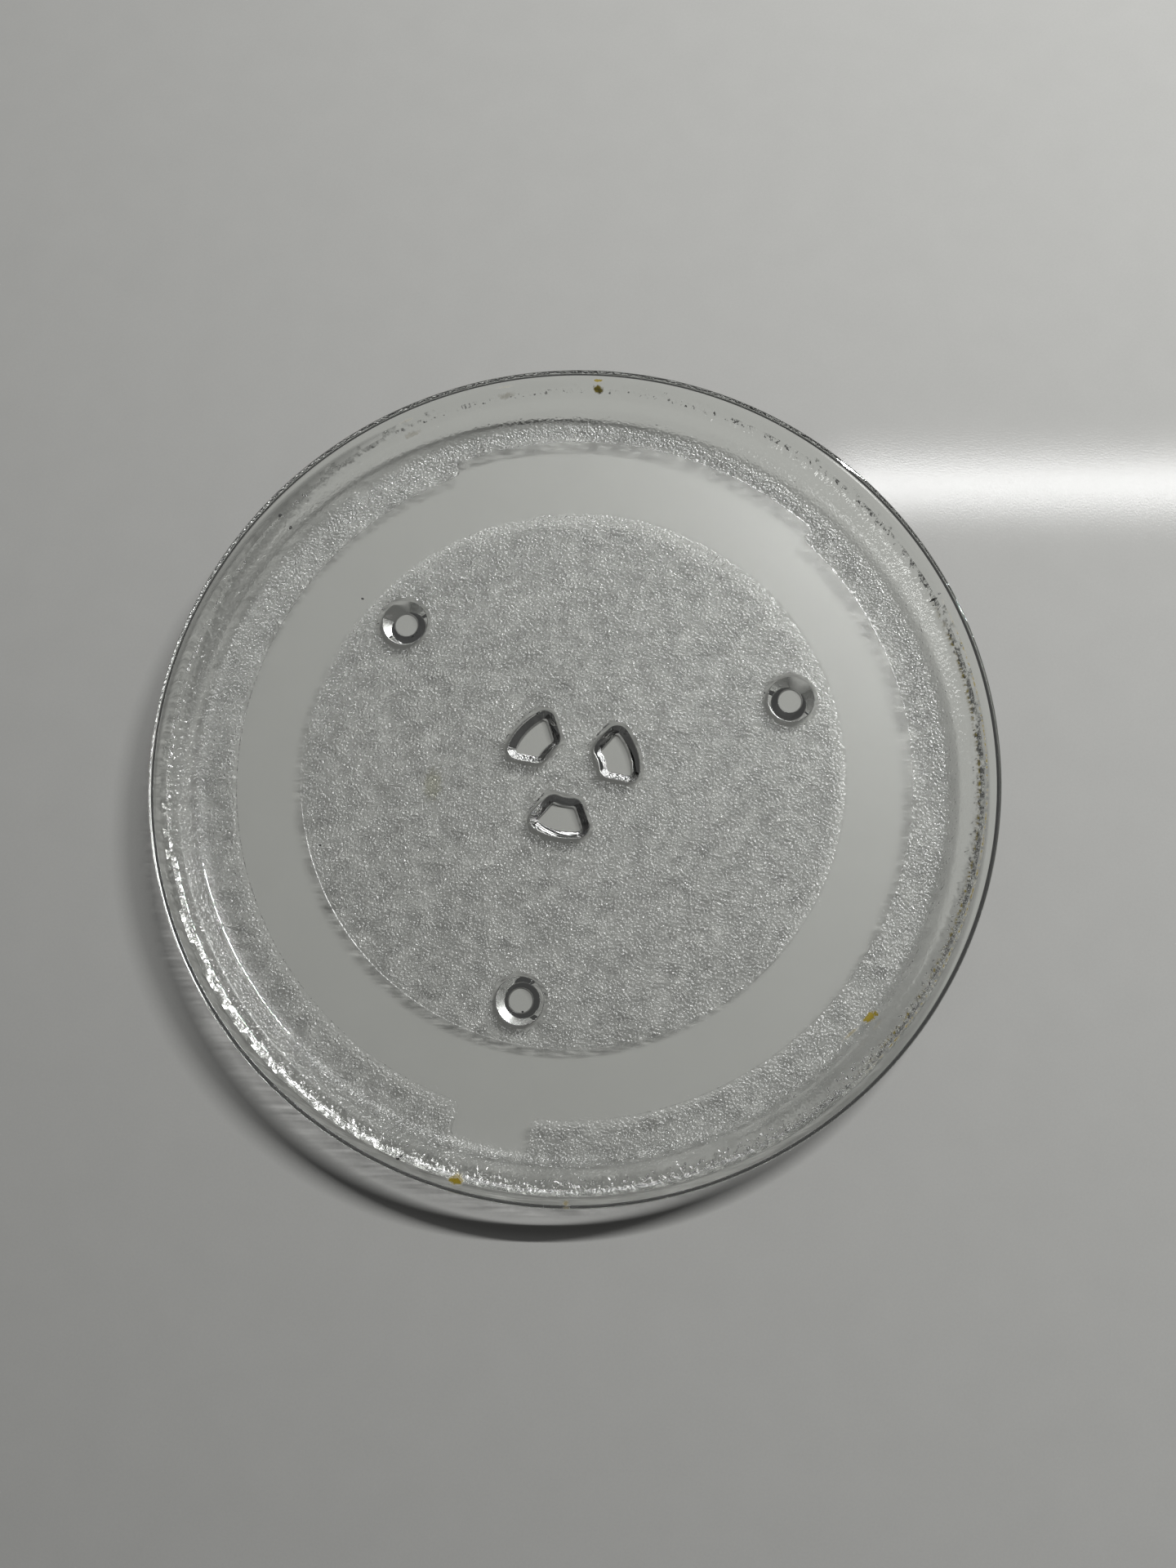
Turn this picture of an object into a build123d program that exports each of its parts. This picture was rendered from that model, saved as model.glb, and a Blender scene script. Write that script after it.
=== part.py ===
"""Microwave turntable plate: one piece of pressed glass, a shallow round dish on three small feet.

The plate stands on z = 0 with the dish's axis on Z. A foot, a drive lug and the short pad lie towards -Y,
and the long pad lies towards +Y. Lengths are in millimetres and angles in degrees.
"""

from build123d import *
import math
import os

# Dish section
RIM_DIAMETER = 288.0
PLATE_HEIGHT = 21.5
FLOOR_THICKNESS = 5.0
OUTER_SLOPE = 51.0  # of the wall outside, above the horizontal
INNER_SLOPE = 76.0  # of the wall inside
RIM_LAND = 8.9  # width of the rim's top, before its shoulder is rounded
RIM_BAND = 4.0  # height of the rim's upright outer edge, before its bevel
RIM_LIP = 2.8  # how far the rim overhangs the wall outside
RIM_OUTER_BEVEL = 1.2
LIP_BEVEL = 1.2  # in the corner under the overhang
SHOULDER_ROUND = 5.2  # inside, from the rim's top to the wall
FLOOR_FILLET = 4.5  # inside, from the floor to the wall
HEEL_ROUND = 8.0  # outside, from the underside to the wall
ROUND_FLATS = 4  # straight flats along the shoulder and along the heel, which keep the facets few

# Roller track: a smooth shallow ring in the underside, where the roller ring's wheels run
TRACK_MEAN_DIAMETER = 213.8
TRACK_WIDTH = 23.2
TRACK_DEPTH = 0.6

# Smooth pads that open outwards from the track at the same level
PAD_CORNER = 2.0
LONG_PAD_SPAN = 65.0
LONG_PAD_REACH = 5.2  # past the track's outer edge
SHORT_PAD_SPAN = 12.0
SHORT_PAD_REACH = 10.8  # runs out into the heel

# Feet: blunt cones near the edge of the disc inside the track
FEET = 3
FOOT_HEIGHT = 5.0
FOOT_INSET = 14.1  # from the disc's edge to the middle of a foot
FOOT_BASE_DIAMETER = 16.6
FOOT_TIP_DIAMETER = 8.6
FOOT_TIP_BEVEL = 0.4

# Drive lugs: drafted ring sectors about the middle, which the coupler's arms push
LUGS = 3
LUG_CLEARANCE = 0.5  # between a lug's tip and the surface that the feet stand on
LUG_INNER_RADIUS = 9.8  # at the root, as are the next three sizes
LUG_LENGTH = 14.4  # along the radius
LUG_SPAN = 61.0
LUG_CORNER = 4.0
LUG_DRAFT = 31.0
LUG_TIP_BEVEL = 0.5

# Bearings: feet and lugs start towards -Y, and the long pad lies opposite the first foot
FIRST_BEARING = -90.0
LONG_PAD_BEARING = FIRST_BEARING + 180.0

# Levels and radii that follow from the sizes above
rim_radius = RIM_DIAMETER / 2
underside = FOOT_HEIGHT
floor_level = underside + FLOOR_THICKNESS
lug_height = FOOT_HEIGHT - LUG_CLEARANCE
lug_outer_radius = LUG_INNER_RADIUS + LUG_LENGTH
disc_radius = (TRACK_MEAN_DIAMETER - TRACK_WIDTH) / 2
track_outer_radius = disc_radius + TRACK_WIDTH
foot_circle_radius = disc_radius - FOOT_INSET


def half_section(points, rounds, bevels):
    """A closed outline of (radius, height) points, with some of its corners rounded or bevelled."""
    section = make_face(Polyline(*points, close=True).edges())
    for break_corner, sizes in ((fillet, rounds), (chamfer, bevels)):
        for corner, size in sizes.items():
            vertex = section.vertices().sort_by_distance(Vector(*corner))[0]
            section = break_corner(vertex, size)
    return section


def round_flats(before, corner, after, radius):
    """Points along a corner's round, from the side before it to the side after it."""
    path = FilletPolyline(before, corner, after, radius=radius)
    arc = path.edges().filter_by(GeomType.CIRCLE)[0]
    points = [arc @ (i / ROUND_FLATS) for i in range(ROUND_FLATS + 1)]
    points.sort(key=lambda point: (point - Vector(*before)).length)
    return [(point.X, point.Y) for point in points]


def run_of(height, slope):
    """How far a wall runs outwards over a height."""
    return height / math.tan(math.radians(slope))


def ring_sector(inner_radius, outer_radius, span, bearing):
    """A flat ring sector, centred on a bearing."""
    start = bearing - span / 2
    inner = CenterArc((0, 0), inner_radius, start, span)
    outer = CenterArc((0, 0), outer_radius, start, span)
    return make_face([inner, outer, Line(inner @ 0, outer @ 0), Line(inner @ 1, outer @ 1)])


def from_axis(corner):
    """How far a corner lies from the dish's axis."""
    return math.hypot(corner.X, corner.Y)


def dish():
    """The dish, turned from its half section: underside, wall with an overhanging rim, and floor."""
    band_foot = PLATE_HEIGHT - RIM_BAND
    lip_radius = rim_radius - RIM_LIP
    shoulder_radius = rim_radius - RIM_LAND
    under_middle = (0, underside)
    heel = (lip_radius - run_of(band_foot - underside, OUTER_SLOPE), underside)
    lip_root = (lip_radius, band_foot)
    lip_edge = (rim_radius, band_foot)
    rim_outer = (rim_radius, PLATE_HEIGHT)
    shoulder = (shoulder_radius, PLATE_HEIGHT)
    floor_edge = (shoulder_radius - run_of(PLATE_HEIGHT - floor_level, INNER_SLOPE), floor_level)
    points = [
        under_middle,
        *round_flats(under_middle, heel, lip_root, HEEL_ROUND),
        lip_root,
        lip_edge,
        rim_outer,
        *round_flats(rim_outer, shoulder, floor_edge, SHOULDER_ROUND),
        floor_edge,
        (0, floor_level),
    ]
    bevels = {lip_root: LIP_BEVEL, rim_outer: RIM_OUTER_BEVEL}
    return revolve(Plane.XZ * half_section(points, {floor_edge: FLOOR_FILLET}, bevels), Axis.Z)


def track():
    """What the roller track and its two pads take out of the underside."""
    ring = Circle(track_outer_radius) - Circle(disc_radius)
    pads = (
        (LONG_PAD_REACH, LONG_PAD_SPAN, LONG_PAD_BEARING),
        (SHORT_PAD_REACH, SHORT_PAD_SPAN, FIRST_BEARING),
    )
    for reach, span, bearing in pads:
        pad = ring_sector(TRACK_MEAN_DIAMETER / 2, track_outer_radius + reach, span, bearing)
        outer_corners = pad.vertices().group_by(from_axis)[-1]
        ring += fillet(outer_corners, PAD_CORNER)
    return Pos(Z=underside) * extrude(ring, TRACK_DEPTH)


def foot():
    """One foot, turned about its own axis, with its root carried up into the disc."""
    base_radius = FOOT_BASE_DIAMETER / 2
    root_level = underside + FLOOR_THICKNESS / 2
    tip_edge = (FOOT_TIP_DIAMETER / 2, 0)
    points = [(0, 0), tip_edge, (base_radius, underside), (base_radius, root_level), (0, root_level)]
    section = half_section(points, {}, {tip_edge: FOOT_TIP_BEVEL})
    return revolve(Plane.XZ * section, Axis.Z)


def lug(bearing):
    """One drive lug, drawn at its root and drafted down to its tip."""
    root = ring_sector(LUG_INNER_RADIUS, lug_outer_radius, LUG_SPAN, bearing)
    root = fillet(root.vertices(), LUG_CORNER)
    return extrude(Pos(Z=underside) * root, lug_height, dir=(0, 0, -1), taper=LUG_DRAFT)


def with_lugs(plate):
    """The plate with its drive lugs, the edges of their tips broken by a small bevel."""
    for i in range(LUGS):
        plate += lug(FIRST_BEARING + 360 / LUGS * i)
    tip_edges = plate.edges().group_by(Axis.Z)[0]
    return chamfer(tip_edges, LUG_TIP_BEVEL)


def turntable_plate():
    """The whole plate as one solid."""
    plate = with_lugs(dish() - track())
    for place in PolarLocations(foot_circle_radius, FEET, FIRST_BEARING):
        plate += place * foot()
    return plate


os.makedirs("parts", exist_ok=True)
export_step(turntable_plate(), "parts/turntable_plate.step")
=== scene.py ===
"""Microwave turntable plate of clear pressed glass, on a pale table under a strip lamp.

The plate is one closed mesh with the pebbled grain of its underside and outer wall. Sizes are in
millimetres and angles in degrees, as in the part's own source, and become metres in the mesh.
"""

import math
from functools import reduce

import bpy
import numpy as np
from mathutils import Matrix, Vector, noise
from mathutils.geometry import delaunay_2d_cdt


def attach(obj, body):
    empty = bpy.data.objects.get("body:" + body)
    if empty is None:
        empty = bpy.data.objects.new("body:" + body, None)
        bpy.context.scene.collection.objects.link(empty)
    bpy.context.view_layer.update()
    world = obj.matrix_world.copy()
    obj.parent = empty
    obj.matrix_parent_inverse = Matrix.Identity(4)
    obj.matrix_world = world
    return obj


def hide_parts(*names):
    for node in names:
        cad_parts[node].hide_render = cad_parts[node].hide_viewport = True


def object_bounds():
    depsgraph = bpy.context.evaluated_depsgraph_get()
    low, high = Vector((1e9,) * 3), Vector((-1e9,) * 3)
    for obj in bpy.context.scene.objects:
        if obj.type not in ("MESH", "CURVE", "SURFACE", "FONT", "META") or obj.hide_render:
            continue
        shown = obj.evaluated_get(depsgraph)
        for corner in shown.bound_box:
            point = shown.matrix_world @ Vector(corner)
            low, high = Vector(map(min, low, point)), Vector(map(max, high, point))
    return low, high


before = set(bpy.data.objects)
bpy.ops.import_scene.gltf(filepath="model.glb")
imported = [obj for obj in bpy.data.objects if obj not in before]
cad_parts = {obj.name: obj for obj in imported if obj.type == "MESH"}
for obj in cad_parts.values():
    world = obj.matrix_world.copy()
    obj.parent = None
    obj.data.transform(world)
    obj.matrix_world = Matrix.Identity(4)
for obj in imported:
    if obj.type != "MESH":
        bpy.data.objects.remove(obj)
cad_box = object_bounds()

MM = 0.001

# Dish section, as in the part's source; the rim and the height come from the frame
rim_radius = cad_box[1][0] / MM
plate_height = cad_box[1][2] / MM
FLOOR_THICKNESS = 5.0
OUTER_SLOPE = 51.0
INNER_SLOPE = 76.0
RIM_LAND = 8.9  # width of the rim's top
RIM_BAND = 4.0  # height of the rim's outer edge
RIM_LIP = 2.8  # how far the rim overhangs the wall
RIM_OUTER_ROUND = 0.5
RIM_INNER_ROUND = 5.2
RIM_UNDER_ROUND = 0.3
RIM_DRAFT = 15.0  # of the rim's outer edge, which leans in below
LIP_FILLET = 2.5
FLOOR_FILLET = 4.5
HEEL_FILLET = 8.0

# Roller track and pads
TRACK_MEAN_DIAMETER = 213.8
TRACK_WIDTH = 23.2
FIELD_LIFT = 0.4  # of the pebbled fields above the solid's underside
TRACK_PROUD = 0.3  # how far the track and pads stand out below the fields
INNER_STEP = 1.2  # width of the slope at the track's inner edge
OUTER_STEP = 1.3  # and at its outer edge
STEP_ROUND = 0.3  # smooth margin on either side of a slope
STEP_GRAIN = 0.4  # share of the grain where a slope starts
PAD_CORNER = 2.0
PAD_ROOT = 2.4  # radius of the corner between a pad and the track's edge
LONG_PAD_SPAN = 65.0
LONG_PAD_REACH = 5.2
SHORT_PAD_SPAN = 12.0
SHORT_PAD_REACH = 10.8

# Feet
FEET = 3
FOOT_HEIGHT = 5.0
FOOT_INSET = 14.1
FOOT_BASE_DIAMETER = 16.6
FOOT_TIP_DIAMETER = 8.6
FOOT_TIP_ROUND = 0.7
FOOT_ROOT_ROUND = 0.9

# Drive lugs
LUGS = 3
LUG_CLEARANCE = 0.5
LUG_INNER_RADIUS = 9.8
LUG_LENGTH = 14.4
LUG_SPAN = 61.0
LUG_CORNER = 4.0
LUG_DRAFT = 31.0
LUG_TIP_ROUND = 0.8
LUG_ROOT_ROUND = 1.2

# Bearings of the first foot, first lug and short pad, and of the long pad
FIRST_BEARING = -90.0
LONG_PAD_BEARING = FIRST_BEARING + 180.0
PADS = (
    (LONG_PAD_REACH, LONG_PAD_SPAN, LONG_PAD_BEARING),
    (SHORT_PAD_REACH, SHORT_PAD_SPAN, FIRST_BEARING),
)

# Levels and radii that follow
underside = FOOT_HEIGHT
field_level = underside + FIELD_LIFT
track_level = field_level - TRACK_PROUD
floor_level = underside + FLOOR_THICKNESS
lug_height = FOOT_HEIGHT - LUG_CLEARANCE
lug_outer_radius = LUG_INNER_RADIUS + LUG_LENGTH
disc_radius = (TRACK_MEAN_DIAMETER - TRACK_WIDTH) / 2
track_outer_radius = disc_radius + TRACK_WIDTH
foot_circle_radius = disc_radius - FOOT_INSET
band_foot = plate_height - RIM_BAND
lip_radius = rim_radius - RIM_LIP
rim_inner_radius = rim_radius - RIM_LAND
heel_radius = lip_radius - (band_foot - underside) / math.tan(math.radians(OUTER_SLOPE))
floor_radius = rim_inner_radius - (plate_height - floor_level) / math.tan(math.radians(INNER_SLOPE))
heel_start = heel_radius - HEEL_FILLET * math.tan(math.radians(OUTER_SLOPE / 2))
sheet_radius = track_outer_radius + SHORT_PAD_REACH + OUTER_STEP + 2 * STEP_ROUND

# Mesh fineness
GRAIN_STEP = 1.0  # between vertices of the pebbled areas
GUARD = 0.5  # flat margin between a moulded edge and the pebbles
WALL_SEGMENTS = 960
RIM_SEGMENTS = 480
DISC_SEGMENTS = 640  # of the track's inner edge
FOOT_SEGMENTS = 64
ARC_STEP = 9.0  # degrees between points of a small round
LUG_EDGE_STEPS = (9, 4)  # along half of a lug's outer and inner edge
LUG_CORNER_STEPS = 10
PAD_CORNER_STEPS = 6
PAD_ROOT_STEPS = 5
STEP_SHARES = (0.0, 0.25, 0.5, 0.75, 1.0)  # rows across a slope
FIRST_ROW = 0.4  # least distance from the underside's edge to the wall's first row, in steps
ON_TOP = 1e-3  # a row this close to the plate's height is on the rim's top
FLOOR_SHARES = (0.75, 0.5, 0.25, 0.08)  # rings of the floor, as shares of its radius
SAME_POINT = 1e-5  # points of the underside closer than this are taken as one

# Pebbled grain: broad pebbles in the mesh, finer ones in the material
PEBBLE = 1.5
PEBBLE_DEPTH = 0.10
BROAD_SHARE = 1.3  # of the pebbles' height
SMALL_SHARE = 0.6  # of smaller pebbles among them
SMALL_PEBBLE = 0.6 * PEBBLE
SMALL_SHIFT = Vector((17, 5, 9))  # keeps the two sizes of pebbles apart
FINE_PEBBLE = 0.9
FINE_DEPTH = 0.80
WALL_PEBBLE = 1.3  # size of the finer ones high on the outer wall
WALL_BUMP = 0.7  # and the share of their depth there
GRAIN_ROUGHNESS = 0.22
WALL_ROUGHNESS = 0.12
SATIN = 0.25  # roughness of the smooth track and pads
GRAIN_TOP = 15.4  # the pebbles of the outer wall end about here, with the smooth rim above
GRAIN_FADE = 0.8
smooth_level = GRAIN_TOP + GRAIN_FADE

# Share of the lamp's light that passes a surface straight on
CLEAR_LIGHT = 1.0
PEBBLED_LIGHT = 0.72
SPECK_CONTRAST = 0.7  # between the broad pebbles' tops and bottoms
FINE_CONTRAST = 4.0  # and between the finer ones'
HEEL_LIGHT = 0.45
WALL_LIGHT = 0.85
LIP_LIGHT = 0.02  # under the rim's lip
BAND_LIGHT = 0.12  # the rim's outer edge
LAND_LIGHT = 0.7  # the rim's top
LAND_DEPTH = 0.1  # what lies this close to the rim's highest level counts as its top
STEP_LIGHT = 0.75
FOOT_LIGHT = 0.35  # the sides of feet and lugs


def arc(center, radius, start, end, steps):
    """Points on an arc, from a start to an end angle in radians."""
    angles = np.linspace(start, end, steps + 1)
    return [(center[0] + radius * math.cos(a), center[1] + radius * math.sin(a)) for a in angles]


def round_off(points, radii):
    """An open outline with its inner corners rounded, as a list of points."""
    outline = [points[0]]
    for before, corner, after, radius in zip(points, points[1:], points[2:], radii):
        corner = Vector(corner)
        back = (Vector(before) - corner).normalized()
        ahead = (Vector(after) - corner).normalized()
        half_angle = back.angle(ahead) / 2
        center = corner + (back + ahead).normalized() * radius / math.sin(half_angle)
        first = corner + back * radius / math.tan(half_angle) - center
        turn = first.angle_signed(corner + ahead * radius / math.tan(half_angle) - center)
        start = math.atan2(first.y, first.x)
        steps = max(2, round(math.degrees(abs(turn)) / ARC_STEP))
        outline += arc(center, radius, start, start - turn, steps)
    return outline + [points[-1]]


def turned(points, bearing):
    """Points turned about the axis by a bearing in degrees."""
    c = math.cos(math.radians(bearing))
    s = math.sin(math.radians(bearing))
    return [(c * x - s * y, s * x + c * y) for x, y in points]


def mirrored(points):
    """The other half of an outline that is symmetric about the X axis, in reverse order."""
    return [(x, -y) for x, y in reversed(points)]


def corner_center(radius, inset, half_span):
    """A point at a radius from the axis and an inset within a sector's upper side."""
    along = Vector((math.cos(half_span), math.sin(half_span)))
    inward = Vector((math.sin(half_span), -math.cos(half_span)))
    return inward * inset + along * math.sqrt(radius ** 2 - inset ** 2)


def bearing_of(point):
    """A point's bearing from the axis, in radians."""
    return math.atan2(point[1], point[0])


def bearings(count):
    """Even bearings round the axis, in degrees."""
    return [FIRST_BEARING + 360 / count * i for i in range(count)]


def up_to_floor(height):
    """How far a height lies on the way from the underside to the floor, from 0 to 1."""
    return min(max((height - underside) / (floor_level - underside), 0), 1)


def lug_outline(inset, bearing):
    """A lug's closed outline, moved inwards from its root by an inset."""
    half_span = math.radians(LUG_SPAN / 2)
    side = half_span + math.pi / 2
    outer = corner_center(lug_outer_radius - LUG_CORNER, LUG_CORNER, half_span)
    inner = corner_center(LUG_INNER_RADIUS + LUG_CORNER, LUG_CORNER, half_span)
    corner = LUG_CORNER - inset
    outer_steps, inner_steps = LUG_EDGE_STEPS
    half = arc((0, 0), lug_outer_radius - inset, 0, bearing_of(outer), outer_steps)[:-1]
    half += arc(outer, corner, bearing_of(outer), side, LUG_CORNER_STEPS)
    half += arc(inner, corner, side, bearing_of(inner) + math.pi, LUG_CORNER_STEPS)
    half += arc((0, 0), LUG_INNER_RADIUS + inset, bearing_of(inner), 0, inner_steps)[1:]
    return turned(half + mirrored(half[1:-1]), bearing)


def half_pad(reach, span, offset):
    """Half of a pad's edge, from its middle to the track's edge, moved outwards by an offset."""
    pad_radius = track_outer_radius + reach
    half_span = math.radians(span / 2)
    outer = corner_center(pad_radius - PAD_CORNER, PAD_CORNER, half_span)
    root = corner_center(track_outer_radius + PAD_ROOT, -PAD_ROOT, half_span)
    across = max(4, round(pad_radius * bearing_of(outer)))
    half = arc((0, 0), pad_radius + offset, 0, bearing_of(outer), across)[:-1]
    corner_end = half_span + math.pi / 2
    root_start = half_span - math.pi / 2
    root_end = bearing_of(root) - math.pi
    half += arc(outer, PAD_CORNER + offset, bearing_of(outer), corner_end, PAD_CORNER_STEPS)
    half += arc(root, PAD_ROOT - offset, root_start, root_end, PAD_ROOT_STEPS)
    return half, bearing_of(root)


def track_outline(offset):
    """The closed outer edge of the track with its pads, moved outwards by an offset."""
    halves = [half_pad(reach, span, offset) for reach, span, _ in PADS]
    between = math.pi - halves[0][1] - halves[1][1]
    steps = round(track_outer_radius * between)
    radius = track_outer_radius + offset
    outline = []
    for (half, end), (_, _, bearing) in zip(halves, PADS):
        pad = mirrored(half[1:]) + half
        plain = arc((0, 0), radius, end, end + between, steps)[1:-1]
        outline += turned(pad + plain, bearing)
    return outline


def circle(radius, segments, center=(0, 0)):
    """A closed circle of points."""
    return arc(center, radius, 0, 2 * math.pi, segments)[:-1]


class Sheet:
    """Points of the underside and the loops among them.

    Each point has a height, a share of the grain, a roughness and a share of the lamp's light.
    """

    def __init__(self):
        self.points = []
        self.traits = []
        self.edges = []

    def add(self, points, height, grain=0.0, rough=0.0, light=CLEAR_LIGHT):
        """Adds single points."""
        self.points += points
        self.traits += [(height, grain, rough, light)] * len(points)

    def loop(self, points, *traits):
        """Adds points that form a closed loop."""
        first = len(self.points)
        count = len(points)
        self.add(points, *traits)
        self.edges += [(first + i, first + (i + 1) % count) for i in range(count)]


def foot_middles():
    """The feet's middles on their circle."""
    return [turned([(foot_circle_radius, 0)], bearing)[0] for bearing in bearings(FEET)]


def add_feet(sheet):
    """The feet as rings round their middles."""
    base = FOOT_BASE_DIAMETER / 2
    tip = FOOT_TIP_DIAMETER / 2
    profile = [(base + 2 * GUARD, field_level), (base, field_level), (tip, 0), (tip - 2 * GUARD, 0)]
    profile = round_off(profile, [FOOT_ROOT_ROUND, FOOT_TIP_ROUND])
    for middle in foot_middles():
        for radius, height in profile:
            light = FOOT_LIGHT if 0 < height < field_level else CLEAR_LIGHT
            sheet.loop(circle(radius, FOOT_SEGMENTS, middle), height, 0.0, 0.0, light)
        sheet.add([middle], 0)


def add_lugs(sheet):
    """The lugs as rings within their root outlines."""
    run = lug_height * math.tan(math.radians(LUG_DRAFT))
    tip = underside - lug_height
    profile = [(-2 * GUARD, field_level), (0, field_level), (run, tip), (run + GUARD, tip)]
    profile = round_off(profile, [LUG_ROOT_ROUND, LUG_TIP_ROUND])
    for bearing in bearings(LUGS):
        for inset, height in profile:
            light = FOOT_LIGHT if tip < height < field_level else CLEAR_LIGHT
            sheet.loop(lug_outline(inset, bearing), height, 0.0, 0.0, light)


def step_rows(width):
    """Rows across a step from the track to the pebbles: offset, share of its rise, grain and light.

    Two smooth rows come first, so that the track's wide faces stay flat.
    """
    rows = [(-2 * STEP_ROUND, 0.0, 0.0, CLEAR_LIGHT), (-STEP_ROUND, 0.0, 0.0, CLEAR_LIGHT)]
    for share in STEP_SHARES:
        grain = STEP_GRAIN + (1 - STEP_GRAIN) * share
        rows.append((share * width, share, grain, STEP_LIGHT))
    return rows + [(width + STEP_ROUND, 1.0, 1.0, PEBBLED_LIGHT)]


def add_track(sheet):
    """Both edges of the track, each as a sloping step to the pebbles."""
    for offset, share, grain, light in step_rows(INNER_STEP):
        height = track_level + TRACK_PROUD * share
        sheet.loop(circle(disc_radius - offset, DISC_SEGMENTS), height, grain, SATIN, light)
    for offset, share, grain, light in step_rows(OUTER_STEP):
        height = track_level + TRACK_PROUD * share
        sheet.loop(track_outline(offset), height, grain, SATIN, light)


def lug_distance(x, y):
    """How far points lie outside the nearest lug's root outline."""
    half_span = math.radians(LUG_SPAN / 2)
    outer = lug_outer_radius - LUG_CORNER
    inner = LUG_INNER_RADIUS + LUG_CORNER
    ends = [math.sqrt(r ** 2 - LUG_CORNER ** 2) for r in (inner, outer)]
    nearest = np.full(x.shape, np.inf)
    for bearing in bearings(LUGS):
        turn = math.radians(bearing)
        u = np.cos(turn) * x + np.sin(turn) * y
        v = np.abs(np.cos(turn) * y - np.sin(turn) * x)
        radius = np.hypot(u, v)
        within = np.sin(half_span) * u - np.cos(half_span) * v - LUG_CORNER
        along = np.cos(half_span) * u + np.sin(half_span) * v
        beyond = along - np.clip(along, *ends)
        beside = np.hypot(within, beyond)
        radial = np.maximum(inner - radius, radius - outer)
        nearest = np.minimum(nearest, np.where(within < 0, beside, radial) - LUG_CORNER)
    return nearest


def pebbled_points():
    """An even triangular lattice over the flat pebbled areas, clear of every moulded edge."""
    count = math.ceil(sheet_radius / GRAIN_STEP)
    row, column = np.mgrid[-2 * count:2 * count + 1, -count:count + 1]
    x = ((column + 0.5 * (row % 2)) * GRAIN_STEP).ravel()
    y = (row * GRAIN_STEP * math.sqrt(3) / 2).ravel()
    radius = np.hypot(x, y)
    half_step = 0.5 * GRAIN_STEP
    margin = STEP_ROUND + half_step
    clear = 2 * GUARD + half_step
    disc = radius < disc_radius - INNER_STEP - margin
    disc &= lug_distance(x, y) > clear
    for middle in foot_middles():
        disc &= np.hypot(x - middle[0], y - middle[1]) > FOOT_BASE_DIAMETER / 2 + clear
    inner_edge = np.full(x.shape, track_outer_radius)
    for reach, span, bearing in PADS:
        away = np.degrees(np.arctan2(y, x)) - bearing
        away = np.abs((away + 180) % 360 - 180)
        beside = np.degrees((OUTER_STEP + margin) / np.maximum(radius, GRAIN_STEP))
        inner_edge[away < span / 2 + beside] = track_outer_radius + reach
    ring = (radius > inner_edge + OUTER_STEP + margin) & (radius < sheet_radius - half_step)
    keep = disc | ring
    return list(zip(x[keep].tolist(), y[keep].tolist()))


def heel_level(radius):
    """Height of the heel's round at a radius beyond its start."""
    return underside + HEEL_FILLET - math.sqrt(HEEL_FILLET ** 2 - (radius - heel_start) ** 2)


def underside_mesh():
    """Vertices of the underside with their traits, its faces, and its outer ring of vertices."""
    pebbled = (field_level, 1.0, GRAIN_ROUGHNESS, PEBBLED_LIGHT)
    sheet = Sheet()
    sheet.loop(circle(sheet_radius, WALL_SEGMENTS), *pebbled)
    add_track(sheet)
    add_feet(sheet)
    add_lugs(sheet)
    sheet.add(pebbled_points(), *pebbled)
    flat = [Vector(p) for p in sheet.points]
    points, _, faces, origins, _, _ = delaunay_2d_cdt(flat, sheet.edges, [], 1, SAME_POINT)
    first = [o[0] for o in origins]
    vertices = []
    for p, o in zip(points, first):
        height, *finish = sheet.traits[o]
        if p.length > heel_start:
            height = max(height, heel_level(p.length))
        vertices.append(((p.x, p.y, height), finish))
    place = {o: i for i, o in enumerate(first)}
    outer_ring = [place[i] for i in range(WALL_SEGMENTS)]
    return vertices, [tuple(reversed(f)) for f in faces], outer_ring


def resampled(outline, step):
    """Points at even steps along an outline, each with its outward direction."""
    points = np.array(outline)
    lengths = np.hypot(*np.diff(points, axis=0).T)
    along = np.concatenate([[0], np.cumsum(lengths)])
    places = np.linspace(0, along[-1], round(along[-1] / step) + 1)
    radius, height = (np.interp(places, along, c) for c in points.T)
    run, rise = np.gradient(radius), np.gradient(height)
    size = np.hypot(run, rise)
    return list(zip(radius, height, rise / size, -run / size))


def wall_rows():
    """Pebbled rows of the heel and the outer wall: radius, height and the outward direction."""
    outline = [
        (heel_start, underside),
        (heel_radius, underside),
        (lip_radius, band_foot),
        (rim_radius, band_foot),
    ]
    outline = round_off(outline, [HEEL_FILLET, LIP_FILLET])
    rows = resampled(outline[1:], GRAIN_STEP)[1:]
    first_radius = sheet_radius + FIRST_ROW * GRAIN_STEP
    return [r for r in rows if r[0] > first_radius and r[1] < smooth_level]


def rim_rows():
    """Smooth rows from under the lip over the rim and down to the floor: radius and height."""
    outline = [
        (heel_radius, underside),
        (lip_radius, band_foot),
        (rim_radius - RIM_BAND * math.tan(math.radians(RIM_DRAFT)), band_foot),
        (rim_radius, plate_height),
        (rim_inner_radius, plate_height),
        (floor_radius, floor_level),
        (floor_radius - 2 * FLOOR_FILLET, floor_level),
    ]
    rounds = [LIP_FILLET, RIM_UNDER_ROUND, RIM_OUTER_ROUND, RIM_INNER_ROUND, FLOOR_FILLET]
    outline = round_off(outline, rounds)
    start = next(i for i, p in enumerate(outline) if p[1] >= smooth_level)
    return outline[start:]


def pebbles(place):
    """Height of the grain at a place, mostly from -1 to 1."""
    broad = noise.noise(place / PEBBLE)
    small = noise.noise(place / SMALL_PEBBLE + SMALL_SHIFT)
    return BROAD_SHARE * broad + SMALL_SHARE * small


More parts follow.
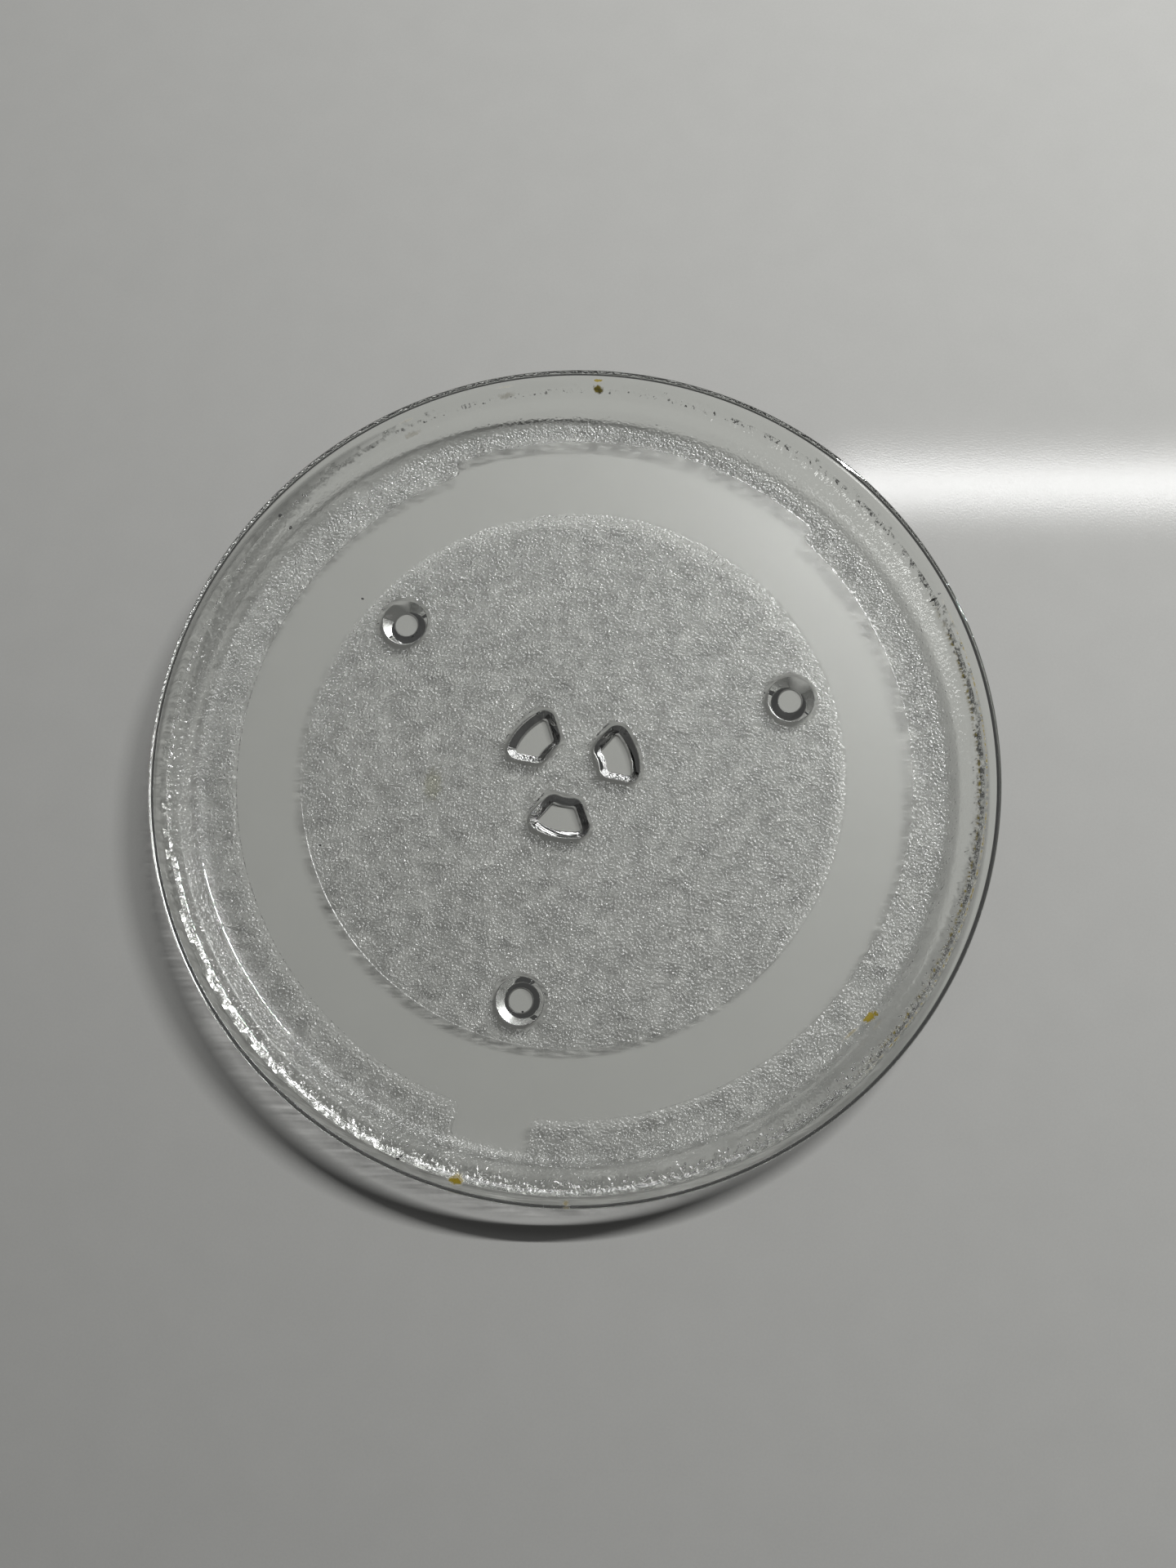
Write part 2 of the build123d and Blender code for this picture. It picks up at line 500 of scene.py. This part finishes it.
class Plate:
    """The plate's vertices, with each one's grain, roughness and light, and its faces."""

    def __init__(self):
        self.vertices = []
        self.grain = []
        self.rough = []
        self.light = []
        vertices, self.faces, self.last = underside_mesh()
        for place, finish in vertices:
            self.vertex(place, (0, 0, -1), *finish)

    def vertex(self, place, direction=(0, 0, 0), grain=0.0, rough=0.0, light=CLEAR_LIGHT):
        """Adds a vertex, pushed outwards by the grain; a pebble gathers light under it."""
        height = pebbles(Vector(place)) if grain else 0.0
        push = grain * PEBBLE_DEPTH * height
        self.vertices.append(tuple(p + push * d for p, d in zip(place, direction)))
        self.grain.append(grain)
        self.rough.append(rough)
        self.light.append(max(light * (1 + grain * SPECK_CONTRAST * height), 0.0))

    def ring(self, segments, radius, height, out=0.0, up=0.0, rough=0.0, light=CLEAR_LIGHT):
        """Adds a ring of vertices, pebbled along its direction, and joins it to the last one."""
        first = len(self.vertices)
        for i in range(segments):
            c = math.cos(2 * math.pi * i / segments)
            s = math.sin(2 * math.pi * i / segments)
            place = (radius * c, radius * s, height)
            grain = self.wall_grain(place) if out else 0.0
            self.vertex(place, (out * c, out * s, up), grain, rough, light)
        self.join(list(range(first, first + segments)))

    @staticmethod
    def wall_grain(place):
        """The grain's share on the wall: whole below, fading out unevenly under the smooth rim."""
        top = GRAIN_TOP + GRAIN_FADE * noise.noise(Vector(place) / (2 * PEBBLE))
        t = min(max((top - place[2]) / GRAIN_FADE + 0.5, 0), 1)
        return t * t * (3 - 2 * t)

    def join(self, ring):
        """Faces between the last ring and a new one, which has as many vertices or half as many."""
        last = self.last
        count = len(ring)
        ratio = len(last) // count
        for i in range(count):
            j = (i + 1) % count
            if ratio == 1:
                self.faces.append((last[i], last[j], ring[j], ring[i]))
            else:
                a, b, c = last[2 * i], last[2 * i + 1], last[(2 * i + 2) % len(last)]
                self.faces += [(a, b, ring[i]), (b, ring[j], ring[i]), (b, c, ring[j])]
        self.last = ring

    def close(self, height):
        """A fan of faces from the last ring to a vertex on the axis."""
        middle = len(self.vertices)
        self.vertex((0, 0, height))
        count = len(self.last)
        self.faces += [(self.last[i], self.last[(i + 1) % count], middle) for i in range(count)]


def rim_light(radius, height):
    """Share of the lamp's light that passes the rim or the inner wall at a place."""
    if height > plate_height - LAND_DEPTH:
        return LAND_LIGHT
    if radius > lip_radius:
        return LIP_LIGHT if height < band_foot + RIM_UNDER_ROUND else BAND_LIGHT
    return CLEAR_LIGHT


def build_plate():
    """The whole plate as one closed mesh object, with a crease where the rim's flat top begins."""
    plate = Plate()
    for radius, height, out, up in wall_rows():
        share = up_to_floor(height)
        light = HEEL_LIGHT + (WALL_LIGHT - HEEL_LIGHT) * share
        rough = GRAIN_ROUGHNESS + (WALL_ROUGHNESS - GRAIN_ROUGHNESS) * share
        plate.ring(WALL_SEGMENTS, radius, height, out, up, rough, light)
    crease = set()
    for radius, height in rim_rows():
        plate.ring(RIM_SEGMENTS, radius, height, light=rim_light(radius, height))
        if not crease and height > plate_height - ON_TOP:
            crease = set(plate.last)
    for share in FLOOR_SHARES:
        plate.ring(RIM_SEGMENTS, floor_radius * share, floor_level)
    plate.close(floor_level)
    mesh = bpy.data.meshes.new("turntable_plate_glass")
    scaled = [tuple(MM * c for c in v) for v in plate.vertices]
    mesh.from_pydata(scaled, [], plate.faces)
    traits = {"grain": plate.grain, "rough": plate.rough, "light": plate.light}
    for name, values in traits.items():
        mesh.attributes.new(name, "FLOAT", "POINT").data.foreach_set("value", values)
    mesh.shade_smooth()
    sharp = [crease.issuperset(edge.vertices) for edge in mesh.edges]
    mesh.attributes.new("sharp_edge", "BOOLEAN", "EDGE").data.foreach_set("value", sharp)
    piece = bpy.data.objects.new("turntable_plate_glass", mesh)
    bpy.context.scene.collection.objects.link(piece)
    return piece


class Nodes:
    """A material's node tree, with short ways to add and link nodes."""

    def __init__(self, name):
        self.material = bpy.data.materials.new(name)
        self.material.use_nodes = True
        self.tree = self.material.node_tree
        self.tree.nodes.clear()

    def add(self, kind, settings=None, **inputs):
        """A node with its settings and inputs; an input that is a socket is linked."""
        node = self.tree.nodes.new("ShaderNode" + kind)
        for name, value in (settings or {}).items():
            setattr(node, name, value)
        for name, value in inputs.items():
            socket = node.inputs[int(name[1:]) if name[0] == "_" else name.replace("_", " ")]
            if isinstance(value, bpy.types.NodeSocket):
                self.tree.links.new(value, socket)
            else:
                socket.default_value = value
        return node

    def math(self, operation, *values):
        """The result of a Math node."""
        inputs = {"_%d" % i: v for i, v in enumerate(values)}
        return self.add("Math", {"operation": operation}, **inputs).outputs[0]

    def attribute(self, name):
        """A number that each vertex of the mesh has."""
        return self.add("Attribute", {"attribute_name": name}).outputs["Fac"]

    def noise(self, place, scale, detail):
        """Noise at a place, about 0.5."""
        return self.add("TexNoise", Vector=place, Scale=scale, Detail=detail).outputs["Fac"]

    def ramp(self, value, start, end, low=0.0, high=1.0):
        """A value mapped from a range to another one, and kept within it."""
        return self.add(
            "MapRange", Value=value, From_Min=start, From_Max=end, To_Min=low, To_Max=high
        ).outputs[0]

    def length(self, vector):
        """A vector's length."""
        return self.add("VectorMath", {"operation": "LENGTH"}, _0=vector).outputs["Value"]


# Glass
GLASS_COLOR = (0.985, 0.998, 0.97, 1)
GLASS_IOR = 1.5

# Dirt on the upper side: each spot's middle, length, width, bearing of the length, and strength
YELLOW_SPOTS = (
    ((114.9, -61.6), 6.0, 2.6, 52.0, 0.9),
    ((109.6, -68.3), 7.0, 1.2, 52.0, 0.35),
    ((-19.7, 138.3), 3.4, 1.3, 8.0, 0.8),
    ((-52.1, 129.5), 6.0, 1.0, 22.0, 0.2),
    ((-83.8, 110.0), 7.0, 0.9, 37.0, 0.2),
    ((-6.1, -139.8), 5.0, 2.4, -2.0, 0.7),
    ((29.5, -138.9), 2.0, 1.2, 12.0, 0.4),
)
SMUDGE = ((-45.8, -15.4), 13.0, 7.5, 100.0, 0.8)
BLACK_SPECKS = (
    ((-119.8, 66.3), 1.3, 0.8, 60.0, 0.9),
    ((111.7, 83.0), 1.3, 0.8, 30.0, 0.9),
    ((-86.6, 45.3), 0.9, 0.7, 0.0, 0.8),
    ((-79.1, -44.3), 0.9, 0.7, 0.0, 0.8),
    ((-25.8, -137.3), 1.5, 0.7, 10.0, 0.9),
    ((2.0, -84.5), 0.8, 0.8, 0.0, 0.8),
)
YELLOW_COLOR = (0.26, 0.19, 0.015, 1)
SMUDGE_COLOR = (0.42, 0.42, 0.28, 1)
BLACK_COLOR = (0.03, 0.03, 0.03, 1)
YELLOW_GAIN = 2.0  # how fast a faint part of a spot takes on the spot's colour
SMUDGE_GAIN = 1.0
BLACK_GAIN = 4.0
STAIN_RADIUS = 139.0  # of the line along the rim
STAIN_WIDTH = 0.5
STAIN_STRENGTH = 0.6
STAIN_START = (108.0, 122.0)  # range of X in which the line comes in
STAIN_GAPS = (0.42, 0.6)  # range of the noise in which it comes in
DIRT_LEVEL = 9.5  # only the upper side, above this height, is dirty
DIRT_ROUGHNESS = 0.4
RAGGED_SCALE = 900.0  # per metre, of the noise that frays the dirt
RAGGED_REACH = 1.6
SPOT_EDGE = (0.5, 1.1)  # from a spot's whole strength to none, as shares of its half length


def spot(n, flat, ragged, middle, length, width, bearing, strength):
    """A ragged oval spot as a mask."""
    at = n.add(
        "Mapping",
        {"vector_type": "TEXTURE"},
        Vector=flat,
        Location=(MM * middle[0], MM * middle[1], 0),
        Rotation=(0, 0, math.radians(bearing)),
        Scale=(MM * length / 2, MM * width / 2, 1),
    ).outputs[0]
    whole = n.math("SUBTRACT", n.length(at), RAGGED_REACH / 2)
    edge = n.math("MULTIPLY_ADD", ragged, RAGGED_REACH, whole)
    return n.ramp(edge, *SPOT_EDGE, strength, 0.0)


def rim_stain(n, flat, ragged):
    """A thin broken line along the rim, on the plate's right, as a mask."""
    away = n.math("ABSOLUTE", n.math("SUBTRACT", n.length(flat), MM * STAIN_RADIUS))
    line = n.ramp(away, 0.0, MM * STAIN_WIDTH, STAIN_STRENGTH, 0.0)
    right = n.add("SeparateXYZ", Vector=flat).outputs["X"]
    on_right = n.ramp(right, *(MM * x for x in STAIN_START))
    broken = n.ramp(ragged, *STAIN_GAPS)
    return n.math("MULTIPLY", n.math("MULTIPLY", line, on_right), broken)


def strongest(n, masks):
    """Several masks as one."""
    return reduce(lambda a, b: n.math("MAXIMUM", a, b), masks)


def stained(n, color, mask, gain, dirt_color):
    """A colour mixed towards a dirt's colour by a mask."""
    share = n.math("MINIMUM", n.math("MULTIPLY", mask, gain), 1.0)
    return n.add("MixRGB", Fac=share, _1=color, _2=dirt_color).outputs[0]


def dirty_glass(n, place, level):
    """The glass's colour with its dirt, and the mask of the dirt that hides the glass."""
    flat = n.add("VectorMath", {"operation": "MULTIPLY"}, _0=place, _1=(1, 1, 0)).outputs[0]
    ragged = n.noise(place, RAGGED_SCALE, 3.0)
    above = n.math("GREATER_THAN", level, MM * DIRT_LEVEL)
    yellow = [rim_stain(n, flat, ragged)] + [spot(n, flat, ragged, *s) for s in YELLOW_SPOTS]
    black = [spot(n, flat, ragged, *s) for s in BLACK_SPECKS]
    yellow = n.math("MULTIPLY", strongest(n, yellow), above)
    black = n.math("MULTIPLY", strongest(n, black), above)
    smudge = n.math("MULTIPLY", spot(n, flat, ragged, *SMUDGE), above)
    color = stained(n, GLASS_COLOR, smudge, SMUDGE_GAIN, SMUDGE_COLOR)
    color = stained(n, color, yellow, YELLOW_GAIN, YELLOW_COLOR)
    color = stained(n, color, black, BLACK_GAIN, BLACK_COLOR)
    return color, n.math("MAXIMUM", yellow, black)


def glass_material():
    """Clear glass with a faint green tint, and a fine grain where the mesh is pebbled.

    Lamp light passes through it, more or less of it from place to place.
    """
    n = Nodes("pressed_glass")
    place = n.add("TexCoord").outputs["Object"]
    level = n.add("SeparateXYZ", Vector=place).outputs["Z"]
    grain = n.attribute("grain")
    fine = n.noise(place, 1 / (MM * FINE_PEBBLE), 1.0)
    coarse = n.noise(place, 1 / (MM * WALL_PEBBLE), 1.0)
    low_to_high = (MM * underside, MM * floor_level)
    swell = n.add("Mix", Factor=n.ramp(level, *low_to_high), _2=fine, _3=coarse).outputs[0]
    depth = n.ramp(level, *low_to_high, 1.0, WALL_BUMP)
    height = n.math("MULTIPLY", n.math("MULTIPLY", swell, grain), depth)
    bump = n.add("Bump", Height=height, Strength=1.0, Distance=MM * FINE_DEPTH)
    color, dirt = dirty_glass(n, place, level)
    glass = n.add(
        "BsdfPrincipled",
        Base_Color=color,
        Roughness=n.math("MULTIPLY_ADD", dirt, DIRT_ROUGHNESS, n.attribute("rough")),
        IOR=GLASS_IOR,
        Transmission_Weight=n.math("SUBTRACT", 1.0, dirt),
        Normal=bump.outputs["Normal"],
    )
    speck = n.math("MULTIPLY", n.math("SUBTRACT", fine, 0.5), grain)
    share = n.math("MAXIMUM", n.math("MULTIPLY_ADD", speck, FINE_CONTRAST, 1.0), 0.0)
    clear = n.add("BsdfTransparent", Color=n.math("MULTIPLY", n.attribute("light"), share))
    shadow = n.add("LightPath").outputs["Is Shadow Ray"]
    mixed = n.add("MixShader", Fac=shadow, _1=glass.outputs[0], _2=clear.outputs[0])
    n.add("OutputMaterial", Surface=mixed.outputs[0])
    return n.material


# Table, in metres
TABLE_SPAN = 4.0
TABLE_GAP = 0.0001  # between the table and the feet
TABLE_DARK = (0.335, 0.335, 0.323, 1)
TABLE_PALE = (0.390, 0.390, 0.376, 1)
MOTTLE_SCALE = 60.0  # per metre
MOTTLE_SHARE = 0.4
SPECK_SCALE = 1500.0
SPECK_SHARE = 0.6
LACQUER_GRAIN = 0.000008
LACQUER_SHINE = 0.0031
LACQUER_ROUGHNESS = 0.122


def table_material():
    """A pale painted table top with a slight shine."""
    n = Nodes("pale_table")
    place = n.add("TexCoord").outputs["Object"]
    mottle = n.math("MULTIPLY", n.noise(place, MOTTLE_SCALE, 4.0), MOTTLE_SHARE)
    speck = n.noise(place, SPECK_SCALE, 2.0)
    tone = n.add("ValToRGB", Fac=n.math("MULTIPLY_ADD", speck, SPECK_SHARE, mottle))
    tone.color_ramp.elements[0].color = TABLE_DARK
    tone.color_ramp.elements[1].color = TABLE_PALE
    paint = n.add("BsdfDiffuse", Color=tone.outputs["Color"])
    bump = n.add("Bump", Height=speck, Strength=1.0, Distance=LACQUER_GRAIN)
    shine = n.add(
        "BsdfAnisotropic",
        {"distribution": "BECKMANN"},
        Color=(LACQUER_SHINE, LACQUER_SHINE, LACQUER_SHINE, 1),
        Roughness=LACQUER_ROUGHNESS,
        Normal=bump.outputs["Normal"],
    )
    both = n.add("AddShader", _0=paint.outputs[0], _1=shine.outputs[0])
    n.add("OutputMaterial", Surface=both.outputs[0])
    return n.material


def build_table():
    """The table, as a large flat sheet just under the feet."""
    half = TABLE_SPAN / 2
    mesh = bpy.data.meshes.new("table")
    corners = [(-half, -half), (half, -half), (half, half), (-half, half)]
    mesh.from_pydata([(x, y, -TABLE_GAP) for x, y in corners], [], [(0, 1, 2, 3)])
    table = bpy.data.objects.new("table", mesh)
    bpy.context.scene.collection.objects.link(table)
    mesh.materials.append(table_material())


# Camera and lamps, in metres, degrees and watts
CAMERA_PLACE = (0.0361, -0.0700, 0.3947)
CAMERA_AIM = (0.0063, -0.0026, 0.0)
PICTURE_UP_BEARING = 102.2
PICTURE_SIZE = (1440, 1920)
FOCAL_PIXELS = 1385.0
SENSOR = 36.0  # millimetres
NEAREST = 0.01

LAMP_PLACE = (0.600, 0.853, 1.3)
LAMP_BEARING = 11.2
LAMP_LENGTH = 0.86
LAMP_WIDTH = 0.03
LAMP_POWER = 39.0

PANEL_PLACE = (0, 0, 1.6)
PANEL_SPAN = 4.0
PANEL_POWER = 3.0
ROOM_LEVEL = 0.05


def add_camera():
    """The camera, almost straight above the plate."""
    forward = (Vector(CAMERA_AIM) - Vector(CAMERA_PLACE)).normalized()
    bearing = math.radians(PICTURE_UP_BEARING)
    right = forward.cross(Vector((math.cos(bearing), math.sin(bearing), 0))).normalized()
    up = right.cross(forward)
    data = bpy.data.cameras.new("camera")
    data.sensor_fit = "VERTICAL"
    data.sensor_height = SENSOR
    data.lens = SENSOR * FOCAL_PIXELS / PICTURE_SIZE[1]
    data.clip_start = NEAREST
    camera = bpy.data.objects.new("camera", data)
    turn = Matrix((right, up, -forward)).transposed().to_4x4()
    camera.matrix_world = Matrix.Translation(CAMERA_PLACE) @ turn
    bpy.context.scene.collection.objects.link(camera)
    bpy.context.scene.camera = camera


def add_lamp(name, place, bearing, size, power):
    """A rectangular lamp that shines straight down."""
    data = bpy.data.lights.new(name, "AREA")
    data.shape = "RECTANGLE"
    data.size, data.size_y = size
    data.energy = power
    lamp = bpy.data.objects.new(name, data)
    lamp.location = place
    lamp.rotation_euler = (0, 0, math.radians(bearing))
    bpy.context.scene.collection.objects.link(lamp)
    return lamp


def add_lights():
    """A strip lamp beyond the plate's far right, a soft panel overhead and a faint room light."""
    add_lamp("strip_lamp", LAMP_PLACE, LAMP_BEARING, (LAMP_LENGTH, LAMP_WIDTH), LAMP_POWER)
    panel = add_lamp("soft_panel", PANEL_PLACE, 0, (PANEL_SPAN, PANEL_SPAN), PANEL_POWER)
    panel.data.cycles.use_multiple_importance_sampling = False
    world = bpy.data.worlds.new("room")
    world.use_nodes = True
    background = world.node_tree.nodes["Background"]
    background.inputs["Color"].default_value = (1, 1, 1, 1)
    background.inputs["Strength"].default_value = ROOM_LEVEL
    bpy.context.scene.world = world


plate = build_plate()
plate.data.materials.append(glass_material())
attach(plate, "root")
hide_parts("turntable_plate")
build_table()
add_camera()
add_lights()
bpy.context.scene.view_settings.view_transform = "Standard"
cycles = bpy.context.scene.cycles
cycles.caustics_refractive = False
cycles.caustics_reflective = False
cycles.max_bounces = 10
cycles.transmission_bounces = 10
cycles.diffuse_bounces = 2
cycles.glossy_bounces = 4
